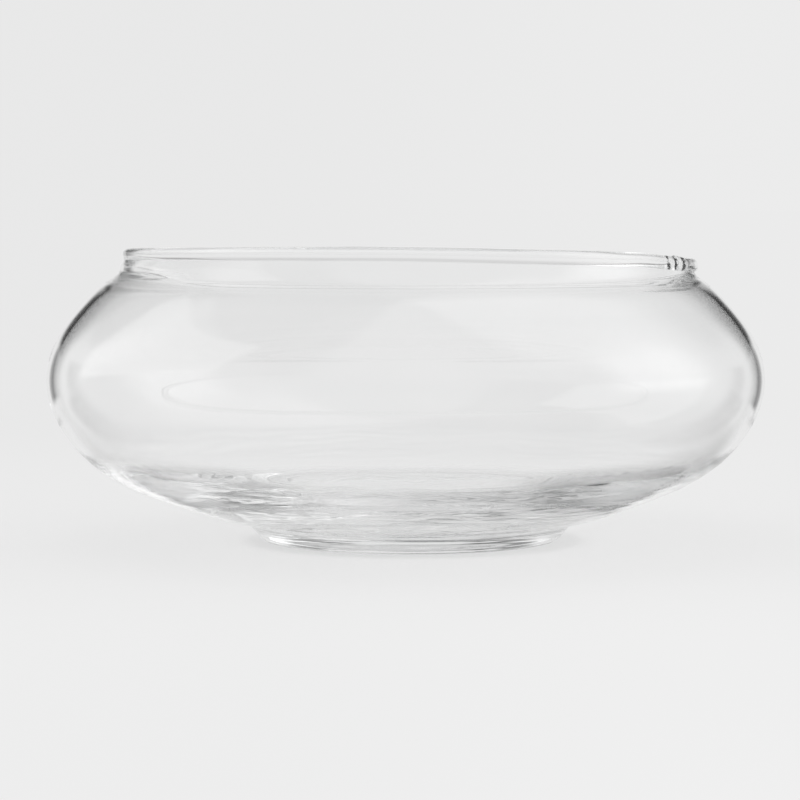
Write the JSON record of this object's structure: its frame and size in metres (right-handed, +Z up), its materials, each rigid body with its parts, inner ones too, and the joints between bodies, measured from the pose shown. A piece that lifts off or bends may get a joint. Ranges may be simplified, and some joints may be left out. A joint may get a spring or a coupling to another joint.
{
  "type": "footed glass bowl",
  "caption": "Squat clear glass bowl with a rolled lip, short neck, bulging shoulders, thin wall, thick bottom and a low round foot.",
  "frame": {"origin": "centre of the resting ring under the foot, on the plane the bowl stands on", "axes": "+Z up along the axis of revolution, out of the mouth; X and Y are any two horizontal directions, because the nominal shape is round"},
  "size_m": [0.2288, 0.2288, 0.092],
  "materials": {
    "clear_glass_body": "fire-polished clear glass, faint cords in the thick bottom",
    "clear_glass_bead": "fire-polished clear glass bead",
    "clear_glass_foot": "clear glass, polished side, lightly worn resting ring"
  },
  "bodies": {
    "root": {"bowl_body": "clear_glass_body", "rim_bead": "clear_glass_bead", "foot": "clear_glass_foot"}
  },
  "joints": []
}
